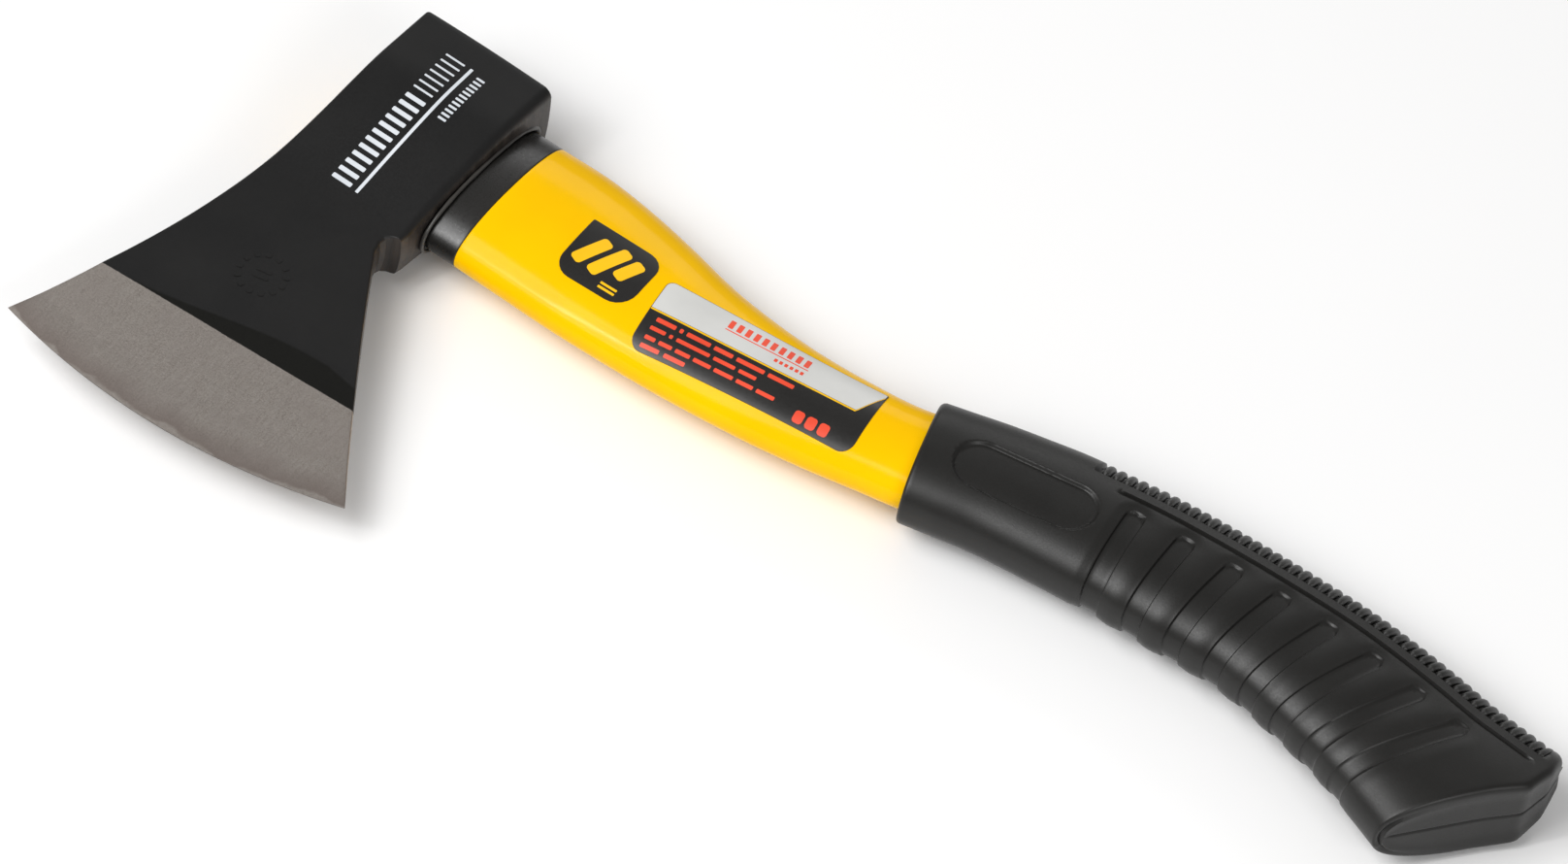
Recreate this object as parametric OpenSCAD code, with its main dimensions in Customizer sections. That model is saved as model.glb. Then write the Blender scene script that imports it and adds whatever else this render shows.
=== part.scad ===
// Short hatchet: a forged steel head, bonded on a moulded handle that has a glass fibre core.
// It lies on its side. +X runs along the handle from head to butt, +Y points out of the poll
// and +Z is up. The origin is the middle of the flat pad of the lower cheek.

/* [Head] */
// Width of the poll, measured along the handle
poll_w = 40.6; // [39:0.2:42]
// Thickness of the head at the poll
head_t = 28.5; // [27:0.5:30]
// Length of the flat cheek pad, from the poll face towards the edge
pad_l = 21.5; // [20:0.5:23]
// Straight distance from toe to heel of the cutting edge
edge_l = 103; // [100:1:106]
// Height of the curve of the cutting edge above that straight line
edge_bow = 7.9; // [6:0.1:10]
// Distance from the poll face to the heel of the cutting edge
heel_d = 136.8; // [134:0.2:140]

/* [Eye] */
// Length of the oval eye
eye_l = 48; // [46:0.5:49]
// Width of the oval eye
eye_w = 16.8; // [16:0.2:17.4]
// Distance from the poll face to the near end of the eye
eye_back = 5.2; // [4:0.2:7]

/* [Handle] */
// Distance from the middle of the head to the collar's lower rim
collar_end = 29.4; // [27:0.2:32]
// Roundness of the handle's section: 2 is an ellipse, more is squarer
handle_n = 2.2; // [2:0.1:2.6]
// Diameter of the glass fibre core rod
core_d = 10; // [8:0.5:10.5]

/* [Grip] */
// Wall of the rubber sleeve at its front and back
grip_wall = 3.2; // [2.8:0.1:3.6]
// Wall of the rubber sleeve on its two flat sides
grip_side = 2.4; // [2:0.1:3]
// Roundness of the grip's section
grip_n = 2.4; // [2.2:0.1:2.8]
// Tilt of the sleeve's front rim
rim_tilt = 16.4; // [12:0.2:20]

/* [Label] */
// Length of the label
label_l = 64; // [60:1:66]
// Height of the label
label_h = 22.5; // [20:0.5:23]
// Length of the badge
badge_l = 22.5; // [18:0.5:24]
// Height of the badge
badge_h = 19.5; // [16:0.5:20]

/* [Hidden] */
$fn = 64;

poll_y = pad_l / 2;
mid_z = head_t / 2;
film_t = 0.2;
// Longer than any cut has to be
far = 400;

// Head outline: corner radius at the poll, and the corners of the lug and of its notch
poll_r = 1;
lug_x = 18.6;
lug_y = -48.5;
notch = [[18.2, -51.2], [16.4, -51.8], [14.8, -53.2], [14.4, -55], [15.2, -58.3]];
arc_steps = 24;
edge_dip = 3.3;
heel = [57.5, poll_y - heel_d];
toe = heel - edge_l * [cos(edge_dip), sin(edge_dip)];
spine = [-21.6, -29];
spine_bow = 4.85;
beard_bow = 0.8;

// Half thickness of the head at distances from the poll face
cheek = [[0, 14.25], [pad_l, 14.25], [44, 10.7], [61.3, 7.2], [84.8, 4.9], [114.8, 3.3],
         [138.8, 0.9], [149, 0.15]];

// Eye and the tang of the handle inside it
eye_near = poll_y - eye_back;
eye_far = eye_near - eye_l;
eye_y = (eye_near + eye_far) / 2;
eye_end_r = 5;
tang_l = 40;
tang_w = 13.6;
tang_end_r = 5;
collar_top = 14;
head_top = -20.3;

// Core rod: a straight rod from its head end to its butt end
core_a = [-18, -20];
core_b = [301, -6];

// Stations of the handle: x, back y, front y, half thickness
collar_stations = [
    [collar_top, eye_near - 0.45, eye_far + 0.55, eye_w / 2 - 0.5],
    [20.4, eye_near - 0.35, eye_far + 0.45, eye_w / 2 - 0.1],
    [collar_end, 5.6, -42.4, 9.3]];
bare_stations = [
    [collar_end, 5.6, -42.4, 9.3], [45, 5.8, -42.6, 9.4], [60, 4.1, -42.7, 9.4],
    [75, 1.2, -42.2, 9.3], [90, -2.2, -41.3, 9.1], [105, -4, -39.8, 8.9],
    [120, -4.5, -37.8, 8.8], [135, -3.5, -35, 8.7], [150, -1.2, -31.5, 8.6]];
grip_stations = [
    [140, -0.5, -37, 11], [150, 2.3, -35, 11], [160, 5.5, -32.6, 11], [170, 8.8, -30.2, 11],
    [180, 11.6, -27.8, 11], [190, 14.2, -26.2, 11.1], [200, 16, -24.9, 11.2],
    [215, 18.5, -23.3, 11.3], [235, 20.5, -22.2, 11.4], [255, 21.6, -21.2, 11.4],
    [275, 22, -24.3, 11.4], [290, 21, -27.7, 11.4], [302, 19.6, -31.6, 11.5],
    [314, 17.8, -36.2, 11.8], [326, 16.8, -41, 12.3], [342, 15.8, -47, 12.3]];
// The jacket is bare up to bare_end and lies inside the grip from there to jacket_end
bare_end = 150;
jacket_end = 314;
grip_in = [for (s = grip_stations) if (s[0] > bare_end && s[0] <= jacket_end)
    [s[0], s[1] - grip_wall, s[2] + grip_wall, s[3] - grip_side]];
jacket_stations = concat(bare_stations, grip_in);
grip_from = grip_stations[0][0];
grip_to = grip_stations[len(grip_stations) - 1][0];
rim_x = 156.4;
rim_y = -13;

// Outline of the butt, seen from the side
butt = [[313.8, -35.4], [330.5, -11.9], [337.2, -3.8], [338.4, 5.6], [337.4, 13], [334.2, 16.6]];
butt_last = butt[len(butt) - 1];
// Heights above and below the whole handle, and how the cut runs past the butt's two corners
above = 60;
below = -80;
past_front = 30;
past_back = 4;

// Label and badge: centre, slant and corner radius
label_at = [111.3, -23.4];
label_slant = 8;
label_r = 3.2;
badge_at = [63.2, -22.8];
badge_slant = 2;
badge_r = 4.5;

// Points of an arc from a to b that stands bow away from the chord, on the chord's right side
function arc_pts(a, b, bow) =
    let (c = norm(b - a), r = (c * c / 4 + bow * bow) / (2 * bow), half = asin(c / 2 / r),
         m = (a + b) / 2, u = (b - a) / c, right = [u[1], -u[0]], o = m - right * (r - bow))
    [for (i = [0:arc_steps]) let (t = half * (2 * i / arc_steps - 1))
        o + r * (right * cos(t) + u * sin(t))];

// Points of a quarter of a circle of radius r about o, from angle a on
function corner_pts(o, r, a, steps = 6) = [for (i = [0:steps]) let (t = a + 90 * i / steps)
    o + r * [cos(t), sin(t)]];

// Smooth curve through column k of the stations st, at x
function seg(st, x, i = 0) = i >= len(st) - 2 || x < st[i + 1][0] ? i : seg(st, x, i + 1);
function slope(st, k, i) = (st[i + 1][k] - st[i][k]) / (st[i + 1][0] - st[i][0]);
function tangent(st, k, i) =
    i == 0 ? slope(st, k, 0) :
    i == len(st) - 1 ? slope(st, k, i - 1) :
    let (h0 = st[i][0] - st[i - 1][0], h1 = st[i + 1][0] - st[i][0])
    (slope(st, k, i - 1) * h1 + slope(st, k, i) * h0) / (h0 + h1);
function curve(st, k, x) =
    let (i = seg(st, x), h = st[i + 1][0] - st[i][0], s = (x - st[i][0]) / h, q = 1 - s)
    q * q * (1 + 2 * s) * st[i][k] + s * q * q * h * tangent(st, k, i)
    + s * s * (1 + 2 * q) * st[i + 1][k] - s * s * q * h * tangent(st, k, i + 1);

// One ring of the handle at x: a superellipse with exponent n, grown by grow on all sides
ring_pts = 40;
collar_rings = 4;
jacket_rings = 48;
grip_rings = 40;
film_rings = 24;
function bent(v, n) = sign(v) * pow(abs(v), 2 / n);
function ring(st, x, n, grow) =
    let (yb = curve(st, 1, x) + grow, yf = curve(st, 2, x) - grow, t = curve(st, 3, x) + grow)
    [for (i = [0:ring_pts - 1]) let (a = 360 * (i + 0.5) / ring_pts)
        [x, (yb + yf) / 2 + (yb - yf) / 2 * bent(cos(a), n), mid_z + t * bent(sin(a), n)]];

// Solid through the rings at the positions xs
module sweep(st, xs, n, grow = 0) {
    last = len(xs) - 1;
    skin = [for (j = [0:last - 1]) for (i = [0:ring_pts - 1])
        let (k = (i + 1) % ring_pts, a = j * ring_pts, b = a + ring_pts)
        each [[a + i, b + i, b + k], [a + i, b + k, a + k]]];
    polyhedron(
        points = [for (x = xs) each ring(st, x, n, grow)],
        faces = concat(skin, [[for (i = [0:ring_pts - 1]) i]],
                       [[for (i = [ring_pts - 1:-1:0]) last * ring_pts + i]]));
}
function steps(a, b, count) = [for (i = [0:count]) a + (b - a) * i / count];

// Oval of length l and width w, with end circles of radius r joined by two large arcs
module oval(l, w, r) {
    c = l / 2 - r;
    big = (c * c + w * w / 4 - r * r) / (w - 2 * r);
    touch = c * big / (big - r);
    for (s = [-1, 1]) translate([s * c, 0]) circle(r);
    intersection() {
        square([2 * touch, w], center = true);
        translate([0, w / 2 - big]) circle(big, $fn = 256);
        translate([0, big - w / 2]) circle(big, $fn = 256);
    }
}

// Prism of the oval along X, from x1 to x2, in the middle of the eye
module oval_prism(l, w, r, x1, x2)
    translate([x1, eye_y, mid_z]) rotate([90, 0, 90]) linear_extrude(x2 - x1) oval(l, w, r);

module rounded_box(size, r) translate(-size / 2 + [r, r])
    union() {
        translate([0, -r]) square([size[0] - 2 * r, size[1]]);
        translate([-r, 0]) square([size[0], size[1] - 2 * r]);
        for (x = [0, size[0] - 2 * r], y = [0, size[1] - 2 * r]) translate([x, y]) circle(r);
    }

module axe_head() color([0.16, 0.16, 0.16]) difference() {
    outline = concat(
        arc_pts(toe, heel, edge_bow),
        [for (i = [arc_steps - 1:-1:1]) arc_pts(notch[4], heel, -beard_bow)[i]],
        [for (i = [len(notch) - 1:-1:0]) notch[i]],
        [[lug_x, lug_y]],
        corner_pts([poll_w / 2 - poll_r, poll_y - poll_r], poll_r, 0),
        corner_pts([poll_r - poll_w / 2, poll_y - poll_r], poll_r, 90),
        [for (i = [0:arc_steps - 1]) arc_pts(spine, toe, -spine_bow)[i]]);
    side = concat([for (p = cheek) [poll_y - p[0], mid_z + p[1]]],
                  [for (i = [len(cheek) - 1:-1:0]) [poll_y - cheek[i][0], mid_z - cheek[i][1]]]);
    intersection() {
        linear_extrude(head_t) polygon(outline);
        translate([-far / 2, 0, 0]) rotate([90, 0, 90]) linear_extrude(far) polygon(side);
    }
    oval_prism(eye_l, eye_w, eye_end_r, -far / 2, far / 2);
}

module tang() oval_prism(tang_l, tang_w, tang_end_r, head_top + 1, collar_end + 1);

module core() translate([core_a[0], core_a[1], mid_z])
    rotate([0, 90, atan2(core_b[1] - core_a[1], core_b[0] - core_a[0])])
    cylinder(h = norm(core_b - core_a), d = core_d);

module eye_resin() color([0.1, 0.1, 0.1]) difference() {
    oval_prism(eye_l, eye_w, eye_end_r, head_top, collar_top);
    tang();
}

module neck_collar() color([0.08, 0.08, 0.08]) difference() {
    sweep(collar_stations, steps(collar_top, collar_end, collar_rings), handle_n);
    tang();
}

module core_rod() color([0.85, 0.8, 0.6]) core();

module jacket_body() sweep(jacket_stations, steps(collar_end, jacket_end, jacket_rings), handle_n);

module handle_jacket() color([1, 0.8, 0.02]) difference() {
    union() {
        tang();
        jacket_body();
    }
    core();
}

// Region behind the tilted rim, and in front of the slanted butt
module grip_span() linear_extrude(head_t) polygon(concat(
    [for (y = [above, below]) [rim_x - (y - rim_y) * tan(rim_tilt), y]],
    [[butt[0][0] - past_front, below]], butt, [[butt_last[0] - past_back, above]]));

module grip_sleeve() color([0.2, 0.2, 0.19]) difference() {
    intersection() {
        sweep(grip_stations, steps(grip_from, grip_to, grip_rings), grip_n);
        grip_span();
    }
    jacket_body();
}

// Film on the upper flank of the jacket, inside the outline drawn by the children
module film() intersection() {
    xs = steps(collar_end, bare_end, film_rings);
    difference() {
        sweep(bare_stations, xs, handle_n, film_t);
        sweep(bare_stations, xs, handle_n);
    }
    translate([0, 0, mid_z]) linear_extrude(head_t) children();
}

module product_label() color([0.75, 0.75, 0.75]) film()
    translate(label_at) rotate(label_slant) rounded_box([label_l, label_h], label_r);

module badge_sticker() color([0.1, 0.1, 0.1]) film()
    translate(badge_at) rotate(badge_slant) rounded_box([badge_l, badge_h], badge_r);

axe_head();
eye_resin();
neck_collar();
core_rod();
handle_jacket();
grip_sleeve();
product_label();
badge_sticker();
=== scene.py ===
"""The looks of a short hatchet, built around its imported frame. Lengths in the tables are millimetres."""
import math

import bmesh
import bpy
import numpy as np
from mathutils import Matrix, Vector


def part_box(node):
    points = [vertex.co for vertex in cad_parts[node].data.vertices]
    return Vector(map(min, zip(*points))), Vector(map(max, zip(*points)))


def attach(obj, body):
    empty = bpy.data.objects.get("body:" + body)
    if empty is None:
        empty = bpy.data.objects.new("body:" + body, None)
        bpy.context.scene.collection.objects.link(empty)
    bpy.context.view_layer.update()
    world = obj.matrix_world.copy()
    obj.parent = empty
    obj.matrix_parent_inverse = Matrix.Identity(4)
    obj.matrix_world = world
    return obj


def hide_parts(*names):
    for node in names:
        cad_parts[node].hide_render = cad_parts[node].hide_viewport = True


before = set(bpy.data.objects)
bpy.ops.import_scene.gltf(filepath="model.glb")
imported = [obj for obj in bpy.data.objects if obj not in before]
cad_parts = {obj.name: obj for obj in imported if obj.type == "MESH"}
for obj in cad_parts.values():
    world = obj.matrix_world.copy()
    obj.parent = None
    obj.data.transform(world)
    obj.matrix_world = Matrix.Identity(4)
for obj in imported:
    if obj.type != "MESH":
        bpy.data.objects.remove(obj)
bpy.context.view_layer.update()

MM = 0.001
TAU = 2 * math.pi


def span(node):
    """Lowest and highest corner of a CAD node, in millimetres."""
    low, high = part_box(node)
    return np.array(low) / MM, np.array(high) / MM


# ---------------------------------------------------------------- driving dimensions: head
HEAD_LOW, HEAD_HIGH = span("axe_head")
COLLAR_LOW, COLLAR_HIGH = span("neck_collar")
MID_Z = (HEAD_LOW[2] + HEAD_HIGH[2]) / 2
POLL_Y = HEAD_HIGH[1]
HEAD_TOP = -20.3
COLLAR_TOP = COLLAR_LOW[0]
COLLAR_END = COLLAR_HIGH[0]

# Outline seen from the side: poll, spine, lug under the eye, beard, heel and toe
POLL_HALF = 20.3
POLL_R = 0.9
POLL_CROWN, POLL_CROWN_FADE = 0.3, 14.0
SPINE = np.array([-21.6, -29.0])
SPINE_BOW = 4.85
LUG = np.array([[18.6, -48.5], [18.2, -51.2], [16.4, -51.8], [14.8, -53.2], [14.4, -55.0], [15.2, -58.3]])
BEARD = LUG[-1]
BEARD_BOW = 0.8
EDGE_TILT, TILT_FROM = 5.93, 62.0
EDGE_BOW = 7.9
HEEL = np.array([57.5, POLL_Y - 136.8])
TOE = HEEL - np.array([102.83, EDGE_TILT])
EDGE_Y = (HEEL[1] + TOE[1]) / 2

# Distance from the poll, and half thickness
CHEEK = np.array([[0, 14.25], [12, 14.25], [21.5, 14.1], [32, 12.7], [44, 10.6], [61.3, 7.2], [84.8, 4.9],
                  [113.4, 3.4], [120, 3.1]])
# Ground bevel: its shoulder rises from the spine to the belly, and a honed strip ends at the edge
GRIND_Y = -102.6
CREASE_RISE, CREASE_FROM, CREASE_TO = 7.0, 0.15, 0.85
HONE_AT, HONE_HALF, HONE_CURVE, EDGE_HALF = 0.68, 1.25, 1.35, 0.08
# Corner radii of the sections, which shrink with the distance from the eye
HEAD_R, BLADE_R, THIN_FROM, THIN_TO = 1.1, 0.5, 40.0, 90.0
UNDER_R, UNDER_FROM, UNDER_TO = 2.8, 38.0, 56.0
WALL_CROWN = 0.5
CORNER_POINTS, CHEEK_POINTS, WALL_POINTS = 8, 76, 12
# Where each stretch of head rows ends, going down from the poll, and its number of rows
HEAD_ROWS = ((-47.0, 50), (-59.0, 42), (-93.5, 32), (GRIND_Y - 0.5, 26), (EDGE_Y, 44))
HEAD_SHARP = 22.0

# Paint line from spine to belly, and the strip of the bevel above it, where painted shade darkens the
# lacquer
PAINT_A, PAINT_B = (-34.8, -106.3), (40.8, -101.5)
PAINT_BLEND, PAINT_WAVER = 0.12, 0.05
STRIP_FROM, STRIP_TO, STRIP_RISE = -32.0, 25.0, 7.8
STRIP_END_FROM, STRIP_END_TO, STRIP_END_DROP = 28.0, 41.0, 2.6

# Ovals in the eye: length, width and exponent
EYE_Y = -18.45
EYE = (48.0, 16.8, 2.35)
TANG = (40.0, 13.6, 2.5)
# Places along the eye, and how far it has widened there
EYE_MOUTHS = ((-27, 7.0), (-21.2, 1.3), (-19.6, 0.0), (0, 0.0), (18.6, 0.0), (20.2, 1.3), (27, 7.0))
LIP_X, LIP_OUT, LIP_R = 20.1, 1.9, 0.55
LIP_WAVE, LIP_SWELL = 0.12, 0.5
# The resin's dished top: depth below the head's top, and place between eye (0) and tang (1)
RESIN_DISH = ((1.2, 0), (0.7, 0.02), (1.0, 0.35), (1.1, 0.75), (0.9, 1))

# ---------------------------------------------------------------- driving dimensions: handle
# Stations: x, back y, front y, half thickness
COLLAR = np.array([[COLLAR_TOP, 5.0, -41.9, 7.9], [18.6, 5.2, -42.1, 8.25], [20.4, 5.5, -42.3, 8.75],
                   [24.5, 5.6, -42.4, 9.15], [COLLAR_END, 5.6, -42.4, 9.3]])
BARE = np.array([[COLLAR_END, 5.6, -42.4, 9.3], [45, 5.8, -42.6, 9.4], [60, 4.1, -42.7, 9.4],
                 [75, 1.2, -42.2, 9.3], [90, -2.2, -41.3, 9.1], [105, -4, -39.8, 8.9],
                 [120, -4.5, -37.8, 8.8], [135, -3.5, -35, 8.7], [150, -1.2, -31.5, 8.6]])
GRIP = np.array([[140, -0.5, -37, 11], [150, 2.3, -35, 11], [160, 5.5, -32.6, 11], [170, 8.8, -30.2, 11],
                 [180, 11.6, -27.8, 11], [190, 14.2, -26.2, 11.1], [200, 16, -24.9, 11.2],
                 [215, 18.5, -23.3, 11.3], [235, 20.5, -22.2, 11.4], [255, 21.6, -21.2, 11.4],
                 [275, 22, -24.3, 11.4], [290, 21, -27.7, 11.4], [302, 19.6, -31.6, 11.5],
                 [314, 17.8, -36.2, 11.8], [326, 16.8, -41, 12.3], [342, 15.8, -47, 12.3]])
GRIP_WALL, GRIP_SIDE = 3.2, 2.4
INNER = GRIP[2:14] + np.array([0, -GRIP_WALL, GRIP_WALL, -GRIP_SIDE])
JACKET = np.vstack([BARE, INNER])
JACKET_END = 314.0
HANDLE_N, GRIP_N = 2.2, 2.4
HANDLE_POINTS = 120
SHOULDER_R, COLLAR_R = 0.35, 0.3
# The jacket's rows are 1 mm apart up to here, just inside the grip, and 4 mm apart beyond
JACKET_FINE_TO = 166.0

# ---------------------------------------------------------------- driving dimensions: grip
RIM_X, RIM_Y, RIM_TILT, RIM_R, RIM_FADE = 156.4, -13.0, math.radians(16.4), 1.3, 45.0
SLOT_COUNT, SLOT_FIRST, SLOT_PITCH, SLOT_TOP = 8, 212.5, 14.27, 18.8
SLOT_LEAN, SLOT_LEAN_STEP = 8.0, -5.3
SLOT_HALF, SLOT_DEEP, SLOT_FADE, SLOT_SOFT, SLOT_REACH = 2.6, 1.2, 0.08, 3.2, 60.0
SLOT_STEP = 0.68
# Rows on each side of a slot's middle, close together at its wall
SLOT_ROWS = (1.2, 2.0, 2.4, 2.53, 2.67, 2.8, 3.1, 3.9, 5.0)
PANEL_A, PANEL_B, PANEL_R, PANEL_DEEP = np.array([173.3, -12.5]), np.array([197.7, -8.1]), 7.3, 1.0
RIB_FIRST, RIB_COUNT, RIB_PITCH, RIB_R = 195.4, 46, 3.03, 1.28
RIB_SIDES, RIB_POINTS, RIB_SHORT = 12, 31, 0.55
CHANNEL_D, CHANNEL_DEEP, CHANNEL_END = 9.0, 1.4, 333.0
GROOVE_D, GROOVE_IN, GROOVE_OUT, GROOVE_DEEP = 12.6, 0.6, 0.85, 0.8
GROOVE_START, GROOVE_END, GROOVE_FLANK = (204.0, 206.0), (330.2, 332.6), 4.0
# Distances below the back where the section points change spacing, and the points up to each
GRIP_KNOTS = ((CHANNEL_D - 0.5, 16), (CHANNEL_D, 2), (GROOVE_D - GROOVE_OUT, 3), (GROOVE_D - GROOVE_IN, 2),
              (GROOVE_D + GROOVE_IN, 3), (GROOVE_D + GROOVE_OUT, 2), (14.4, 3), (16.9, 13))
GRIP_FRONT_POINTS = 104
GRIP_POINTS = 2 * (sum(points for _, points in GRIP_KNOTS) + GRIP_FRONT_POINTS)
GRIP_SHARP = 38.0
# Outline of the butt from front to back
BUTT = np.array([[313.8, -35.4], [330.5, -11.9], [337.2, -3.8], [338.4, 5.6], [337.4, 13], [334.2, 16.6]])
BUTT_X, BUTT_LEAN, BUTT_R, BUTT_BLEND = 337.4, -35.4, 1.9, 305.0
BUTT_FRONT_SLOPE = 0.71
BUTT_HOLLOW, BUTT_GROOVE, BUTT_GROOVE_HALF = 0.45, 0.5, 0.35

# ---------------------------------------------------------------- driving dimensions: prints
LABEL_AT, LABEL_SLANT, LABEL_L, LABEL_H = (111.3, -23.3), 8.0, 64.0, 22.4
LABEL_CORNERS = (2.2, 0.4, 3.4, 3.6)
BAND_LOW, BAND_TIP, BAND_TIP_SLOPE = 1.0, 27.5, 2.1
BAND_CORNERS = (2.1, 0.3, 0.1, 0.1)
# Greeked lines on the label: v, height, u of the first word, word lengths and gap
LABEL_LINES = ((-1.7, 1.3, -28.9, (5.6, 1.0, 6.8, 5.4, 8.0, 7.4), 1.1),
               (-4.5, 1.1, -29.2, (4.4, 1.0, 9.6, 6.2, 5.0), 1.1),
               (-7.3, 1.1, -29.2, (3.0, 3.8, 4.2, 5.0, 5.4, 4.8, 5.2), 1.0),
               (-9.6, 1.1, -29.2, (5.4, 6.0), 1.4))
BADGE_AT, BADGE_SLANT, BADGE_L, BADGE_H = (63.2, -22.8), 2.0, 22.4, 19.4
BADGE_CORNERS = (0.4, 5.0, 5.0, 6.0)
# Stripes on the badge: place along and across it, and half length
BADGE_STRIPES = ((-5.8, 0.4, 5.6), (-0.2, 0.4, 6.2), (5.4, 1.2, 4.2))
BADGE_STRIPE_LEAN = -24.0
STAMP_AT, STAMP_R, STAMP_COUNT = np.array([-2.5, -82.3]), 6.3, 13
# Thickness of film and ink, how far ink is sunk in, and how far cheek prints and pads are lifted
FILM, INK, SINK, MARK, STAMP_UP = 0.17, 0.04, 0.02, 0.03, 0.1

# ---------------------------------------------------------------- driving dimensions: stage
FLOOR_HALF = 6000.0
# Softboxes and their aim, in metres and watts: name, place, size, power
LIGHT_AIM = (0.13, -0.03, 0.02)
LIGHTS = (("key", (-0.75, -1.3, 1.9), (1.7, 1.7), 50.0),
          ("strip", (-0.55, -1.35, 1.75), (0.12, 0.5), 6.0),
          ("fill", (1.7, -0.9, 1.2), (1.0, 1.0), 12.0),
          ("back", (-0.75, 1.9, 1.2), (1.2, 0.7), 5.0))
WORLD_COLOUR, WORLD_STRENGTH = (1.0, 0.99, 0.98, 1), 0.3
# Camera: aim and distance in metres, angles in degrees, lens and sensor in millimetres
CAMERA_AIM = (0.1256, -0.0302, MID_Z * MM)
CAMERA_AZIMUTH, CAMERA_ELEVATION, CAMERA_ROLL = 26.04, 49.84, 12.72
CAMERA_DISTANCE, CAMERA_LENS, SENSOR = 3.53, 319.7, 36.0


# ---------------------------------------------------------------- curves and meshes
def curve(stations, column, x):
    """Smooth curve through one column of the stations, at the positions x."""
    xs, ys = stations[:, 0], stations[:, column]
    h = np.diff(xs)
    d = np.diff(ys) / h
    inner = (d[:-1] * h[1:] + d[1:] * h[:-1]) / (h[1:] + h[:-1])
    m = np.concatenate(([d[0]], inner, [d[-1]]))
    i = np.clip(np.searchsorted(xs, x, side="right") - 1, 0, len(h) - 1)
    s = (x - xs[i]) / h[i]
    q = 1 - s
    return (q * q * (1 + 2 * s) * ys[i] + s * q * q * h[i] * m[i]
            + s * s * (1 + 2 * q) * ys[i + 1] - s * s * q * h[i] * m[i + 1])


def smooth(x, a, b):
    """0 before a, 1 after b, and a smooth step between."""
    t = np.clip((x - a) / (b - a), 0, 1)
    return t * t * (3 - 2 * t)


def bent(v, n):
    """A sine or cosine made into the coordinate of a superellipse."""
    return np.sign(v) * np.abs(v) ** (2 / n)


def bow_x(a, b, bow, y):
    """x of the arc from a to b at height y; bow is positive when it bulges towards +X."""
    chord = np.linalg.norm(b - a)
    r = (chord * chord / 4 + bow * bow) / (2 * abs(bow))
    u = (b - a) / chord
    right = np.array([u[1], -u[0]])
    if right[0] < 0:
        right = -right
    o = (a + b) / 2 + math.copysign(1, -bow) * right * (r - abs(bow))
    return o[0] + math.copysign(1, bow) * np.sqrt(np.maximum(r * r - (y - o[1]) ** 2, 0))


def round_end(r, steps=7):
    """Distances from an end and the inset there, for an edge of radius r."""
    t = np.linspace(0, math.pi / 2, steps)
    return r * (1 - np.cos(t)), r * (1 - np.sin(t))


def drop(r, d):
    """How far a corner of radius r lies below its side at distance d from the end."""
    return r - np.sqrt(np.maximum(r * r - np.maximum(r - d, 0) ** 2, 0))


def oval(length, width, n, count=96):
    """Points (y, z) of a closed oval about the origin."""
    a = even_angles(count)
    return np.stack([length / 2 * bent(np.cos(a), n), width / 2 * bent(np.sin(a), n)], -1)


def even_angles(count):
    """Angles around a full turn, half a step off the axes."""
    return TAU * (np.arange(count) + 0.5) / count


def make(name, verts, faces):
    """A smooth-shaded mesh object from points in millimetres."""
    mesh = bpy.data.meshes.new(name)
    mesh.from_pydata((np.asarray(verts, float) * MM).tolist(), [], faces)
    mesh.validate()
    mesh.polygons.foreach_set("use_smooth", [True] * len(mesh.polygons))
    obj = bpy.data.objects.new(name, mesh)
    bpy.context.scene.collection.objects.link(obj)
    return obj


def solid(name, verts, faces, sharp_angle=35.0):
    """A closed mesh object with its normals outwards and its edges sharp past an angle."""
    obj = make(name, verts, faces)
    bm = bmesh.new()
    bm.from_mesh(obj.data)
    bmesh.ops.recalc_face_normals(bm, faces=bm.faces)
    bm.to_mesh(obj.data)
    bm.free()
    obj.data.set_sharp_from_angle(angle=math.radians(sharp_angle))
    return obj


def loft_faces(rows, count, closed=True):
    """Quads between rows of count points each; closed joins the last point to the first."""
    last = count if closed else count - 1
    j, i = np.meshgrid(np.arange(rows - 1), np.arange(last), indexing="ij")
    a = j * count + i
    b = j * count + (i + 1) % count
    return np.stack([a, b, b + count, a + count], -1).reshape(-1, 4).tolist()


def tube(rings):
    """Points and faces of a skin through rings of equal point counts, closed at both ends."""
    rings = np.asarray(rings, float)
    rows, count = rings.shape[:2]
    faces = loft_faces(rows, count)
    faces.append(list(range(count)))
    faces.append(list(range((rows - 1) * count, rows * count))[::-1])
    return rings.reshape(-1, 3), faces


def loft(name, rings, sharp_angle=35.0):
    """A solid from a skin through rings, closed at both ends."""
    return solid(name, *tube(rings), sharp_angle)


def ring_skin(name, rings):
    """A skin that closes on itself both ways, like a tyre."""
    rings = np.asarray(rings, float)
    rows, count = rings.shape[:2]
    faces = [[v % (rows * count) for v in face] for face in loft_faces(rows + 1, count)]
    return solid(name, rings.reshape(-1, 3), faces)


def joined(name, parts):
    """One object from several meshes given as (verts, faces)."""
    verts, faces, start = [], [], 0
    for v, f in parts:
        verts.append(v)
        faces += [[i + start for i in face] for face in f]
        start += len(v)
    return solid(name, np.vstack(verts), faces, 30.0)


def cut(obj, cutter):
    """Takes the cutter's volume out of obj and deletes the cutter."""
    mod = obj.modifiers.new("cut", "BOOLEAN")
    mod.operation = "DIFFERENCE"
    mod.solver = "EXACT"
    mod.object = cutter
    bpy.context.view_layer.update()
    shape = obj.evaluated_get(bpy.context.evaluated_depsgraph_get())
    result = bpy.data.meshes.new_from_object(shape)
    obj.modifiers.clear()
    obj.data = result
    bpy.data.objects.remove(cutter)


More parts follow.
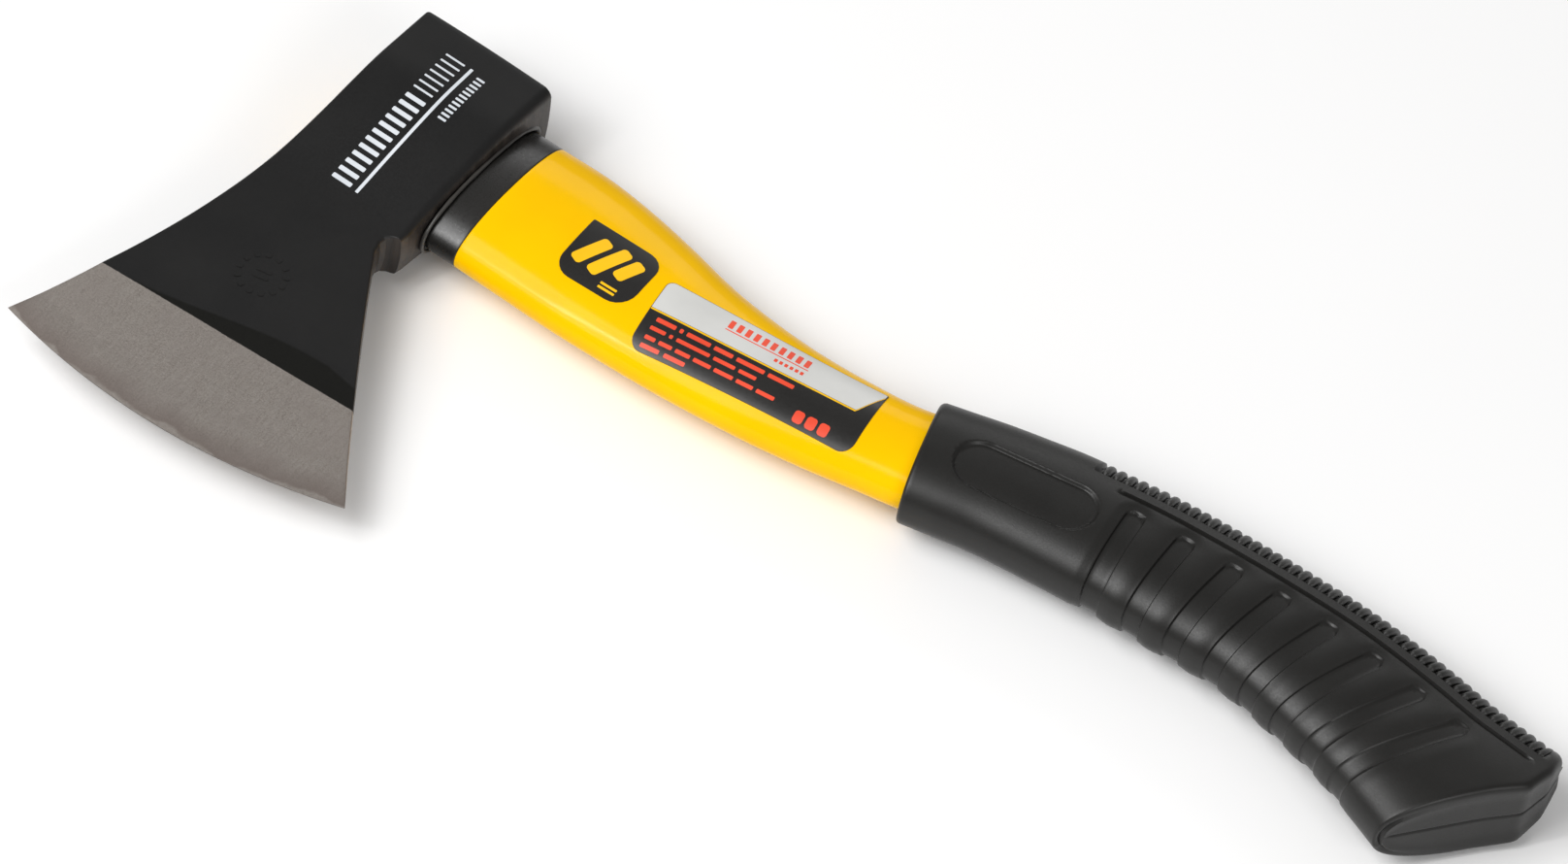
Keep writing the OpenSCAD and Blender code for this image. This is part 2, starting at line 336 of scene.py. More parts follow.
# ---------------------------------------------------------------- materials
class Nodes:
    """A short way to write a node material."""

    def __init__(self, name):
        self.mat = bpy.data.materials.new(name)
        self.mat.use_nodes = True
        self.tree = self.mat.node_tree
        self.shader = self.tree.nodes["Principled BSDF"]
        coords = self.add("ShaderNodeTexCoord")
        self.place = coords.outputs["Object"]
        self.normal = coords.outputs["Normal"]

    def add(self, kind, **values):
        """A new node with its settings."""
        node = self.tree.nodes.new(kind)
        for key, value in values.items():
            setattr(node, key, value)
        return node

    def feed(self, socket, value):
        """Links a socket, or sets it when the value is a number or a colour."""
        if isinstance(value, tuple):
            socket.default_value = (*value, 1)
        elif isinstance(value, (float, int)):
            socket.default_value = value
        else:
            self.tree.links.new(value, socket)

    def split(self, vector):
        """The three parts of a vector."""
        node = self.add("ShaderNodeSeparateXYZ")
        self.feed(node.inputs[0], vector)
        return node.outputs[0], node.outputs[1], node.outputs[2]

    def scaled(self, scale):
        """The place, stretched along each axis."""
        node = self.add("ShaderNodeMapping")
        node.inputs["Scale"].default_value = scale
        self.feed(node.inputs["Vector"], self.place)
        return node.outputs["Vector"]

    def noise(self, scale, detail=2.0, rough=0.5, stretch=None):
        """Noise at the place, from 0 to 1."""
        node = self.add("ShaderNodeTexNoise")
        self.feed(node.inputs["Scale"], scale)
        self.feed(node.inputs["Detail"], detail)
        self.feed(node.inputs["Roughness"], rough)
        self.feed(node.inputs["Vector"], self.scaled(stretch) if stretch else self.place)
        return node.outputs["Fac"]

    def ramp(self, value, low, high, out_low=0.0, out_high=1.0, blend="LINEAR"):
        """Maps low to high onto the output range, and holds its ends beyond."""
        node = self.add("ShaderNodeMapRange", interpolation_type=blend)
        ends = (("From Min", low), ("From Max", high), ("To Min", out_low), ("To Max", out_high))
        for key, v in ends:
            self.feed(node.inputs[key], v)
        self.feed(node.inputs["Value"], value)
        return node.outputs["Result"]

    def mix(self, fac, a, b):
        """A colour between a and b."""
        node = self.add("ShaderNodeMix", data_type="RGBA")
        self.feed(node.inputs[0], fac)
        self.feed(node.inputs[6], a)
        self.feed(node.inputs[7], b)
        return node.outputs[2]

    def math(self, operation, a, b=0.0):
        node = self.add("ShaderNodeMath", operation=operation)
        self.feed(node.inputs[0], a)
        self.feed(node.inputs[1], b)
        return node.outputs[0]

    def plus(self, a, b):
        return self.math("ADD", a, b)

    def minus(self, a, b):
        return self.math("SUBTRACT", a, b)

    def times(self, a, b):
        return self.math("MULTIPLY", a, b)

    def bump(self, height, distance):
        """A normal bent by a height, at a depth in metres."""
        node = self.add("ShaderNodeBump")
        self.feed(node.inputs["Distance"], distance)
        self.feed(node.inputs["Strength"], 1.0)
        self.feed(node.inputs["Height"], height)
        return node.outputs["Normal"]

    def set(self, **values):
        """Feeds the shader's inputs and gives back the material."""
        names = {"base": "Base Color", "rough": "Roughness", "metal": "Metallic", "normal": "Normal",
                 "specular": "Specular IOR Level"}
        for key, value in values.items():
            self.feed(self.shader.inputs[names[key]], value)
        return self.mat


def plastic(name, dark, light, rough, texture, depth, specular=0.5):
    """Moulded plastic, rubber or ink: slow colour drift, a fine surface texture and uneven gloss."""
    n = Nodes(name)
    drift = n.ramp(n.noise(60.0, 3.0), 0.35, 0.65)
    fine = n.noise(texture)
    gloss = n.ramp(fine, 0.3, 0.7, rough - 0.04, rough + 0.05)
    return n.set(base=n.mix(drift, dark, light), rough=gloss, normal=n.bump(fine, depth), specular=specular)


def above_paint_line(n, x, y):
    """Height above the straight paint line, in metres, with a slight waver."""
    slope = (PAINT_B[1] - PAINT_A[1]) / (PAINT_B[0] - PAINT_A[0])
    level = n.minus(n.minus(y, n.times(x, slope)), (PAINT_A[1] - slope * PAINT_A[0]) * MM)
    return n.plus(level, n.ramp(n.noise(900.0), 0.3, 0.7, -PAINT_WAVER * MM, PAINT_WAVER * MM))


def bevel_facet_shade(n, x, level):
    """1 below the shoulder of the bevel, which climbs towards the belly and dips at its end; the mask of
    the painted shade on the bevel facet.
    """
    rise = n.ramp(x, STRIP_FROM * MM, STRIP_TO * MM, 0.0, STRIP_RISE * MM, "SMOOTHSTEP")
    rise = n.minus(rise, n.ramp(x, STRIP_END_FROM * MM, STRIP_END_TO * MM, 0.0, STRIP_END_DROP * MM))
    return n.ramp(n.minus(rise, level), -0.0003, 0.0004)


def honed_strip_shade(n, x, y):
    """1 on the strip just above the curved edge, where painted shade darkens the steel."""
    u = n.ramp(x, TOE[0] * MM, HEEL[0] * MM, -1.0, 1.0)
    arc = n.times(n.times(u, u), EDGE_BOW * MM)
    chord = n.times(u, EDGE_TILT * MM / 2)
    above = n.minus(y, n.plus(n.plus(arc, chord), (EDGE_Y - EDGE_BOW) * MM))
    above = n.plus(above, n.ramp(n.noise(110.0, 3.0), 0.3, 0.7, -0.0012, 0.0012))
    return n.times(n.ramp(above, 0.0015, 0.009, 1.0, 0.0), n.ramp(above, 0.0004, 0.0011))


def steel_colour(n, grain, lines, honed_shade):
    """Ground steel: warm grey grain, paler grinding lines, blotches, and painted shade in darker brown on
    the honed strip.
    """
    steel = n.mix(n.ramp(grain, 0.3, 0.7), (0.29, 0.258, 0.232), (0.43, 0.39, 0.355))
    steel = n.mix(n.ramp(lines, 0.35, 0.75, 0.0, 0.5), steel, (0.47, 0.44, 0.41))
    steel = n.mix(n.ramp(n.noise(90.0, 4.0), 0.35, 0.65, 0.0, 0.5), steel, (0.375, 0.335, 0.31))
    # Painted shade: darker brown over the honed strip at the edge
    return n.mix(n.times(honed_shade, 0.8), steel, (0.255, 0.215, 0.195))


def lacquer_colour(n, strip, wall, streaks):
    """Black lacquer: painted shade makes it darker on the bevel facet, and a painted highlight makes it
    lighter, brownish and streaky on the forged walls.
    """
    drift = n.ramp(n.noise(45.0, 3.0), 0.35, 0.65)
    lacquer = n.mix(drift, (0.0052, 0.0052, 0.0053), (0.0078, 0.0076, 0.0075))
    # Painted shade: the lacquer darker on the bevel facet above the paint line
    lacquer = n.mix(n.times(strip, 0.8), lacquer, (0.0036, 0.0036, 0.0024))
    # Painted highlight: the walls, picked by their facing, lighter and brownish with streaks
    wall_highlight = n.mix(n.ramp(streaks, 0.35, 0.7), (0.02, 0.0165, 0.0145), (0.058, 0.047, 0.04))
    return n.mix(n.times(wall, 0.75), lacquer, wall_highlight)


def head_material():
    """Black lacquer down to the paint line, ground steel below it, and a honed strip at the edge, with
    painted shade on the bevel and the honed strip and a painted highlight on the walls.
    """
    n = Nodes("lacquer_and_steel")
    x, y, _ = n.split(n.place)
    level = above_paint_line(n, x, y)
    paint = n.ramp(level, -PAINT_BLEND * MM, PAINT_BLEND * MM)
    bare = n.minus(1.0, paint)
    # Mask of the painted shade on the bevel facet
    strip = bevel_facet_shade(n, x, level)
    # Faces turned sideways: the walls, for their painted highlight and streaky relief
    wall = n.ramp(n.math("ABSOLUTE", n.split(n.normal)[2]), 0.25, 0.75, 1.0, 0.0)
    grain = n.noise(2400.0, 4.0, 0.65)
    lines = n.noise(1500.0, 3.0, 0.6, (1.0, 0.12, 1.0))
    streaks = n.noise(420.0, 3.0, 0.6, (1.0, 1.0, 0.08))
    peel = n.noise(1500.0)
    steel = steel_colour(n, grain, lines, honed_strip_shade(n, x, y))
    lacquer = lacquer_colour(n, strip, wall, streaks)
    steel_rough = n.times(bare, n.ramp(grain, 0.3, 0.7, 0.42, 0.56))
    lacquer_rough = n.times(paint, n.ramp(peel, 0.3, 0.7, 0.36, 0.44))
    relief = n.plus(n.times(bare, n.plus(grain, lines)), n.times(peel, 0.35))
    relief = n.plus(relief, n.times(n.times(wall, streaks), 2.0))
    specular = n.ramp(n.times(strip, paint), 0.0, 1.0, 0.35, 0.22)
    return n.set(base=n.mix(paint, steel, lacquer), rough=n.plus(lacquer_rough, steel_rough), metal=bare,
                 normal=n.bump(relief, 0.00004), specular=specular)


# ---------------------------------------------------------------- head
def spine_x(y):
    """x of the spine side: straight beside the eye and bowed down to the toe."""
    line = SPINE[0] - (y - SPINE[1]) / (POLL_Y - SPINE[1]) * (SPINE[0] + POLL_HALF)
    return np.where(y > SPINE[1], line, bow_x(TOE, SPINE, SPINE_BOW, y))


def belly_x(y):
    """x of the belly side: straight beside the eye, the lug, and bowed down to the heel."""
    x = np.interp(y, LUG[::-1, 1], LUG[::-1, 0])
    line = LUG[0, 0] + (y - LUG[0, 1]) / (POLL_Y - LUG[0, 1]) * (POLL_HALF - LUG[0, 0])
    x = np.where(y > LUG[0, 1], line, x)
    return np.where(y < BEARD[1], bow_x(HEEL, BEARD, -BEARD_BOW, y), x)


def row_tilt(y0):
    """How much lower a row's spine end lies than its belly end."""
    return EDGE_TILT * smooth(-y0, TILT_FROM, -GRIND_Y)


def row_bow(y0):
    """How far the middle of a row hangs below its ends."""
    return EDGE_BOW * np.clip((GRIND_Y - y0) / (GRIND_Y - EDGE_Y), 0, 1)


def head_half(y0, u):
    """Half thickness on the row at y0; u runs from the spine (0) to the belly (1)."""
    crease = GRIND_Y + CREASE_RISE * smooth(u, CREASE_FROM, CREASE_TO)
    q = np.clip((crease - y0) / (crease - EDGE_Y), 0, 1)
    shoulder = curve(CHEEK, 1, POLL_Y - crease)
    ground = shoulder + (HONE_HALF - shoulder) * np.minimum(q / HONE_AT, 1)
    tip = np.clip((q - HONE_AT) / (1 - HONE_AT), 0, 1)
    ground = ground - (HONE_HALF - EDGE_HALF) * tip ** HONE_CURVE
    return np.where(y0 > crease, curve(CHEEK, 1, POLL_Y - y0), ground)


def row_y(y0, u):
    """The y of a place on a row: tilted and bowed near the edge, a little crowned at the poll."""
    crown = POLL_CROWN * (2 * u - 1) ** 2 * (1 - smooth(POLL_Y - y0, 0, POLL_CROWN_FADE))
    return y0 + row_tilt(y0) * (u - 0.5) - row_bow(y0) * (1 - (2 * u - 1) ** 2) - crown


def head_ring(y0):
    """One closed section of the head: upper cheek, belly wall, lower cheek, spine wall."""
    to_poll = POLL_Y - y0
    inset, sink = float(drop(POLL_R, to_poll)), float(drop(HEAD_R, to_poll))
    left = float(spine_x(y0 - row_tilt(y0) / 2)) + inset
    right = float(belly_x(y0 + row_tilt(y0) / 2)) - inset
    half_left, half_right = (float(head_half(np.array(y0), u)) - sink for u in (0.0, 1.0))
    thin = HEAD_R + (BLADE_R - HEAD_R) * float(smooth(-y0, THIN_FROM, THIN_TO))
    r_left = min(thin, half_left * 0.5)
    under = UNDER_R + (thin - UNDER_R) * float(smooth(-y0, UNDER_FROM, UNDER_TO))
    r_right = min(under, half_right * 0.5)
    u_left, drop_left = round_end(r_left, CORNER_POINTS)
    u_right, drop_right = round_end(r_right, CORNER_POINTS)
    mid = np.linspace(left + r_left, right - r_right, CHEEK_POINTS)[1:-1]
    x = np.concatenate([left + u_left, mid, right - u_right[::-1]])
    across = np.clip((x - left) / (right - left), 0, 1)
    z = head_half(np.full(len(x), y0), across) - sink
    z = z - np.concatenate([drop_left, np.zeros(len(mid)), drop_right[::-1]])
    t = np.linspace(-1, 1, WALL_POINTS)[1:-1]
    crown = min(WALL_CROWN, half_right * 0.12)
    top = np.stack([x, z], -1)
    belly = np.stack([right + crown * (1 - t ** 2), -t * (half_right - r_right)], -1)
    spine = np.stack([left - crown * (1 - t ** 2), t * (half_left - r_left)], -1)
    xz = np.concatenate([top, belly, top[::-1] * [1, -1], spine])
    u = np.clip((xz[:, 0] - left) / (right - left), 0, 1)
    return np.stack([xz[:, 0], row_y(y0, u), MID_Z + xz[:, 1]], -1)


def head_top(x, y):
    """Height of the upper cheek at a place."""
    y0 = np.array(y, float)
    for _ in range(12):
        left, right = spine_x(y0 - row_tilt(y0) / 2), belly_x(y0 + row_tilt(y0) / 2)
        u = np.clip((x - left) / (right - left), 0, 1)
        y0 = y0 + y - row_y(y0, u)
    return MID_Z + head_half(y0, u)


def eye_ring(x, yz):
    """A section of the eye, the tang or what lies between them, from (y, z) about the eye's middle."""
    return np.column_stack([np.full(len(yz), x), EYE_Y + yz[:, 0], MID_Z + yz[:, 1]])


def eye_cutter():
    """The eye as a solid that flares a little at both mouths."""
    length, width, n = EYE
    rings = [eye_ring(x, oval(length + 2 * grow, width + 2 * grow, n)) for x, grow in EYE_MOUTHS]
    return loft("eye_cutter", rings)


def build_head():
    """The forging: rows from the poll down to the edge, with the eye cut through."""
    rows = [POLL_Y - round_end(POLL_R, 9)[0]]
    start = POLL_Y - POLL_R
    for end, count in HEAD_ROWS:
        rows.append(np.linspace(start, end, count)[1:])
        start = end
    head = loft("head_forging", [head_ring(y0) for y0 in np.concatenate(rows)], HEAD_SHARP)
    cut(head, eye_cutter())
    head.data.set_sharp_from_angle(angle=math.radians(HEAD_SHARP))
    return head


# ---------------------------------------------------------------- handle
def ring_at(stations, x, angles, grow=0.0):
    """Points of the handle's section at x; x may differ from point to point."""
    w, v = bent(np.cos(angles), HANDLE_N), bent(np.sin(angles), HANDLE_N)
    x = np.broadcast_to(np.asarray(x, float), angles.shape)
    yb, yf, t = (curve(stations, k, x) for k in (1, 2, 3))
    y = (yb + yf) / 2 + ((yb - yf) / 2 + grow) * w
    return np.stack([x, y, MID_Z + (t + grow) * v], -1)


def build_jacket():
    """The tang in the eye, a small shoulder below the collar, and the body down into the grip."""
    angles = even_angles(HANDLE_POINTS)
    tang = oval(*TANG, HANDLE_POINTS)
    rings = [eye_ring(x, tang) for x in np.linspace(HEAD_TOP + 1, COLLAR_END, 12)]
    for d, inset in zip(*round_end(SHOULDER_R, 5)):
        rings.append(ring_at(JACKET, COLLAR_END + d, angles, -inset))
    fine = np.arange(COLLAR_END + 1, JACKET_FINE_TO, 1.0)
    coarse = np.arange(JACKET_FINE_TO + 2, JACKET_END, 4.0)
    for x in np.concatenate([fine, coarse, [JACKET_END]]):
        rings.append(ring_at(JACKET, x, angles))
    return loft("handle_body", rings)


def build_collar():
    """The collar: outer skin from the eye down, a rounded end, and the bore back up."""
    angles = even_angles(HANDLE_POINTS)
    tang = oval(*TANG, HANDLE_POINTS)
    rings = [eye_ring(COLLAR_TOP, tang)]
    for x in np.linspace(COLLAR_TOP, COLLAR_END - COLLAR_R, 28)[:-1]:
        rings.append(ring_at(COLLAR, x, angles))
    along, insets = round_end(COLLAR_R, 5)
    for d, inset in zip(along[::-1], insets[::-1]):
        rings.append(ring_at(COLLAR, COLLAR_END - d, angles, -inset))
    rings += [eye_ring(x, tang) for x in np.linspace(COLLAR_END, COLLAR_TOP, 6)[:-1]]
    return ring_skin("collar_sleeve", rings)


def build_lip():
    """The uneven bead of resin squeezed out around the lower mouth of the eye."""
    length, width, n = EYE
    path = eye_ring(LIP_X, oval(length + LIP_OUT, width + LIP_OUT, n, 160))
    y = path[:, 1]
    ahead = np.roll(path, -1, 0) - np.roll(path, 1, 0)
    ahead /= np.linalg.norm(ahead, axis=1)[:, None]
    side = np.cross(ahead, [1.0, 0, 0])
    turn = TAU * np.arange(12) / 12
    wave = LIP_WAVE * np.sin(y * 0.9) * np.sin(y * 0.37 + 1)
    radius = LIP_R * (1 + wave + LIP_SWELL * smooth(y, -2, 5))
    rings = []
    for p, s, r in zip(path, side, radius):
        rings.append(p + r * (np.outer(np.cos(turn), s) + np.outer(np.sin(turn), [1.0, 0, 0])))
    return ring_skin("resin_lip", rings)


def build_resin():
    """Resin between the tang and the eye, with a dished top."""
    outer, inner = oval(*EYE, HANDLE_POINTS), oval(*TANG, HANDLE_POINTS)
    rings = [eye_ring(COLLAR_TOP, outer)]
    for depth, k in RESIN_DISH:
        rings.append(eye_ring(HEAD_TOP + depth, outer * (1 - k) + inner * k))
    rings.append(eye_ring(COLLAR_TOP, inner))
    return ring_skin("eye_resin_fill", rings)


# ---------------------------------------------------------------- grip
def slot_place(i):
    """Position along the grip and lean, in degrees, of a finger slot."""
    return SLOT_FIRST + SLOT_PITCH * i, SLOT_LEAN + SLOT_LEAN_STEP * i


def back_line(x):
    """y of the grip's back."""
    return curve(GRIP, 1, np.asarray(x, float))


def capsule(x, y, a, b):
    """Distance to the segment from a to b."""
    d = b - a
    t = np.clip(((x - a[0]) * d[0] + (y - a[1]) * d[1]) / (d @ d), 0, 1)
    return np.hypot(x - a[0] - t * d[0], y - a[1] - t * d[1])


def slot_relief(x, y, i):
    """Depth of one finger slot: a step at its wall and a soft slope around it."""
    at, degrees = slot_place(i)
    lean = math.radians(degrees)
    top = np.array([at, float(back_line(at)) - SLOT_TOP])
    end = top + SLOT_REACH * np.array([math.sin(lean), -math.cos(lean)])
    off = capsule(x, y, top, end) - SLOT_HALF
    step = SLOT_STEP * (1 - smooth(off, -0.25, 0.2)) + (1 - SLOT_STEP) * (1 - smooth(off, 0, SLOT_SOFT))
    return (SLOT_DEEP - SLOT_FADE * i) * step


def grip_relief(x, y, z):
    """How far the rubber lies below its smooth outer skin."""
    deep = PANEL_DEEP * (1 - smooth(capsule(x, y, PANEL_A, PANEL_B) - PANEL_R, -0.4, 0.4))
    for i in range(SLOT_COUNT):
        deep = np.maximum(deep, slot_relief(x, y, i))
    off = back_line(x) - y
    ended = smooth(x, CHANNEL_END - 0.4, CHANNEL_END + 0.4)
    channel = smooth(x, RIB_FIRST - 0.3, RIB_FIRST + 0.3) * (1 - ended)
    deep = np.maximum(deep, CHANNEL_DEEP * channel * (1 - smooth(off, CHANNEL_D - 0.5, CHANNEL_D)))
    groove = smooth(x, *GROOVE_START) * (1 - smooth(x, *GROOVE_END)) * (np.abs(z - MID_Z) > GROOVE_FLANK)
    groove = groove * (1 - smooth(np.abs(off - GROOVE_D), GROOVE_IN, GROOVE_OUT))
    return np.maximum(deep, GROOVE_DEEP * groove)


def grip_angles(half):
    """Section angles of every point of a ring, from the half height at that point."""
    count = len(half)
    upper = count // 2
    at = np.arange(count)
    fold = np.where(at > upper, count - at, at)
    knots = [np.zeros(count)]
    index = [0]
    for distance, points in GRIP_KNOTS:
        knots.append(np.arccos((1 - distance / half) ** (GRIP_N / 2)))
        index.append(index[-1] + points)
    knots = np.array(knots + [np.full(count, math.pi)])
    index = np.array(index + [upper])
    k = np.clip(np.searchsorted(index, fold, side="right") - 1, 0, len(index) - 2)
    f = (fold - index[k]) / (index[k + 1] - index[k])
    a = knots[k, at] * (1 - f) + knots[k + 1, at] * f
    return np.where(at > upper, TAU - a, a)


def lean_table():
    """Row lean along the grip: the rim, then every slot, then the butt."""
    xs, leans = [RIM_X], [math.degrees(RIM_TILT)]
    for i in range(SLOT_COUNT):
        at, degrees = slot_place(i)
        xs += [at - 3.4, at + 3.4]
        leans += [degrees, degrees]
    return np.array(xs + [BUTT_X]), np.array(leans + [BUTT_LEAN])


LEAN_X, LEAN = lean_table()


def butt_x(y):
    """Outline of the butt with its corners eased."""
    eased = sum(np.interp(y + d, BUTT[:, 1], BUTT[:, 0]) for d in (-1.0, -0.5, 0, 0.5, 1.0)) / 5
    return eased + np.minimum(y - BUTT[0, 1], 0) * BUTT_FRONT_SLOPE


def warp(x0, y):
    """Rows lean with the rim, the slots and the slanted butt."""
    off = y - (float(back_line(x0)) - SLOT_TOP)
    lean = math.tan(math.radians(float(np.interp(x0, LEAN_X, LEAN))))
    rim = (1 - float(smooth(x0, RIM_X, RIM_X + RIM_FADE))) * math.tan(RIM_TILT)
    end_off = y - (float(back_line(BUTT_X)) - SLOT_TOP)
    gap = butt_x(y) - (BUTT_X - np.minimum(end_off, 0) * math.tan(math.radians(BUTT_LEAN)))
    leaned = x0 - np.minimum(off, 0) * lean - np.maximum(off, 0) * rim
    return leaned + float(smooth(x0, BUTT_BLEND, BUTT_X)) * gap


def grip_skin(x, a):
    """Points and unit normals (y, z) of the grip's smooth outer skin at the angles a."""
    yb, yf, t = (curve(GRIP, k, x) for k in (1, 2, 3))
    half = (yb - yf) / 2
    w, v = bent(np.cos(a), GRIP_N), bent(np.sin(a), GRIP_N)
    steep_w, steep_v = (np.sign(c) * np.abs(c) ** (GRIP_N - 1) for c in (w, v))
    normal = np.stack([steep_w / half, steep_v / t], -1)
    normal /= np.linalg.norm(normal, axis=1)[:, None]
    return (yb + yf) / 2 + half * w, MID_Z + t * v, normal


def grip_row(x0, inset=0.0):
    """One ring of the grip, sunk by its relief and by an inset at the rounded ends."""
    y = np.full(GRIP_POINTS, float(back_line(x0)) - SLOT_TOP)
    for _ in range(10):
        x = warp(x0, y)
        half = (curve(GRIP, 1, x) - curve(GRIP, 2, x)) / 2
        y, z, normal = grip_skin(x, grip_angles(half))
    sink = inset + grip_relief(x, y, z)
    return np.stack([x, y - normal[:, 0] * sink, z - normal[:, 1] * sink], -1)


def slot_rows():
    """Row positions across the slots, close together at their walls."""
    rows = []
    for i in range(SLOT_COUNT):
        at, degrees = slot_place(i)
        rows.append(at)
        for d in SLOT_ROWS:
            across = d / math.cos(math.radians(degrees))
            rows += [at - across, at + across]
        rows.append(at + SLOT_PITCH / 2)
    return sorted(rows)


def grip_outside():
    """Rings of the outer skin from the rounded rim to the rounded butt."""
    start = RIM_X + (RIM_Y - float(back_line(RIM_X)) + SLOT_TOP) * math.tan(RIM_TILT)
    across = slot_rows()
    rings = [grip_row(start + d, inset) for d, inset in zip(*round_end(RIM_R))]
    rings += [grip_row(x0) for x0 in np.arange(start + RIM_R + 0.6, across[0] - 0.3, 0.52)]
    rings += [grip_row(x0) for x0 in across]
    rings += [grip_row(x0) for x0 in np.arange(across[-1] + 1.0, BUTT_X - 2.5, 1.0)]
    along, insets = round_end(BUTT_R, 9)
    return rings + [grip_row(BUTT_X - d, inset) for d, inset in zip(along[::-1], insets[::-1])]


def grip_inside():
    """Rings of the bore from its closed end to the rim, on the jacket's surface."""
    turn = TAU * np.arange(GRIP_POINTS) / GRIP_POINTS
    rings = []
    near, far = np.linspace(RIM_X + 0.6, RIM_X + 10, 5), np.linspace(RIM_X + 14, JACKET_END, 14)
    for x in np.concatenate([near, far]):
        lean = (1 - smooth(x, RIM_X, RIM_X + 12.0)) * math.tan(RIM_TILT)
        ring = ring_at(JACKET, x, turn)
        for _ in range(6):
            ring = ring_at(JACKET, x - (ring[:, 1] - RIM_Y) * lean, turn)
        rings.append(ring)
    return rings[::-1]


def butt_face(ring, first, extra):
    """The end face: lines from the upper to the lower half of the last ring, with a parting groove.

    first is the index of the ring's first point, and extra that of the first point made here.
    """
    upper = GRIP_POINTS // 2
    near_groove = np.linspace(0.46, 0.54, 7)
    across = np.concatenate([np.linspace(0, 0.44, 9), near_groove, np.linspace(0.56, 1, 9)])[1:-1]
    verts, lines = [], []
    for i in range(upper + 1):
        low_i = (GRIP_POINTS - i) % GRIP_POINTS
        y, high_z, low_z = ring[i, 1], ring[i, 2], ring[low_i, 2]
        inside = [first + i] * len(across)
        if 0 < i < upper:
            inside = list(range(extra + len(verts), extra + len(verts) + len(across)))
            z = high_z + (low_z - high_z) * across
            hollow = BUTT_HOLLOW * smooth(np.minimum(high_z - z, z - low_z), 0, 4)
            groove = BUTT_GROOVE * np.exp(-((z - MID_Z) / BUTT_GROOVE_HALF) ** 2)
            x = butt_x(y) - hollow - groove * smooth(high_z - low_z, 6, 14)
            verts += np.column_stack([x, np.full(len(z), y), z]).tolist()
        lines.append([first + i] + inside + [first + low_i])
    faces = []
    for a, b in zip(lines, lines[1:]):
        for j in range(len(a) - 1):
            face = list(dict.fromkeys([a[j], a[j + 1], b[j + 1], b[j]]))
            if len(face) > 2:
                faces.append(face)
    return np.array(verts), faces


def build_grip():
    """The grip: bore, rounded rim, moulded outer skin and butt."""
    rings = np.array(grip_inside() + grip_outside())
    verts = rings.reshape(-1, 3)
    faces = loft_faces(len(rings), GRIP_POINTS) + [list(range(GRIP_POINTS))]
    end_verts, end_faces = butt_face(rings[-1], len(verts) - GRIP_POINTS, len(verts))
    return solid("grip_rubber", np.vstack([verts, end_verts]), faces + end_faces, GRIP_SHARP)


def rib(x0):
    """One round cross bar, bent over the back from flank to flank, with domed ends."""
    slope = float(back_line(x0 + 0.5) - back_line(x0 - 0.5))
    half = float(curve(GRIP, 1, np.array(x0)) - curve(GRIP, 2, np.array(x0))) / 2
    reach = math.acos((1 - (CHANNEL_D - RIB_SHORT) / half) ** (GRIP_N / 2))
    a = np.linspace(-reach, reach, RIB_POINTS)
    x = x0 + slope * half * (1 - bent(np.cos(a), GRIP_N)) / math.hypot(1, slope)
    y, z, normal = grip_skin(x, a)
    out = np.column_stack([np.zeros(len(a)), normal])
    path = np.stack([x, y, z], -1) - out * RIB_R
    run = np.concatenate(([0], np.cumsum(np.linalg.norm(np.diff(path, axis=0), axis=1))))
    to_end = np.clip(np.minimum(run, run[-1] - run) / RIB_R, 0, 1)
    radius = RIB_R * np.sqrt(np.clip(1 - (1 - to_end) ** 2, 0.02, 1))
    along = np.array([1.0, slope, 0]) / math.hypot(1, slope)
    turn = TAU * np.arange(RIB_SIDES) / RIB_SIDES
    rings = []
    for p, n, r in zip(path, out, radius):
        rings.append(p + r * (np.outer(np.cos(turn), n) + np.outer(np.sin(turn), along)))
    return tube(rings)


def build_ribs():
    """The ribs, evenly spaced along the curved back."""
    x = np.arange(140.0, 342.0, 0.25)
    length = np.concatenate(([0], np.cumsum(np.hypot(np.diff(x), np.diff(back_line(x))))))
    first = float(np.interp(RIB_FIRST, x, length)) + RIB_PITCH / 2
    places = np.interp(first + RIB_PITCH * np.arange(RIB_COUNT), length, x)
    return joined("grip_ribs", [rib(float(x0)) for x0 in places])


# ---------------------------------------------------------------- printed films
def jacket_top(x, y):
    """Height of the jacket's upper flank at a place."""
    yb, yf, t = (curve(BARE, k, x) for k in (1, 2, 3))
    u = np.clip(np.abs((y - (yb + yf) / 2) / ((yb - yf) / 2)), 0, 0.999)
    return MID_Z + t * (1 - u ** HANDLE_N) ** (1 / HANDLE_N)


def outline(u0, u1, v0, v1, corners, step=0.5):
    """u samples, lower edge and upper edge of a box.

    corners holds the radii at the top left, top right, lower left and lower right.
    """
    tl, tr, bl, br = corners
    ease = 1 - np.cos(np.linspace(0, math.pi / 2, 7)[:-1])
    left, right = max(tl, bl), max(tr, br)
    mid = np.linspace(u0 + left, u1 - right, max(2, int((u1 - u0 - left - right) / step) + 1))
    u = np.concatenate([u0 + left * ease, mid, (u1 - right * ease)[::-1]])
    low = v0 + drop(bl, u - u0) + drop(br, u1 - u)
    return u, low, v1 - drop(tl, u - u0) - drop(tr, u1 - u)


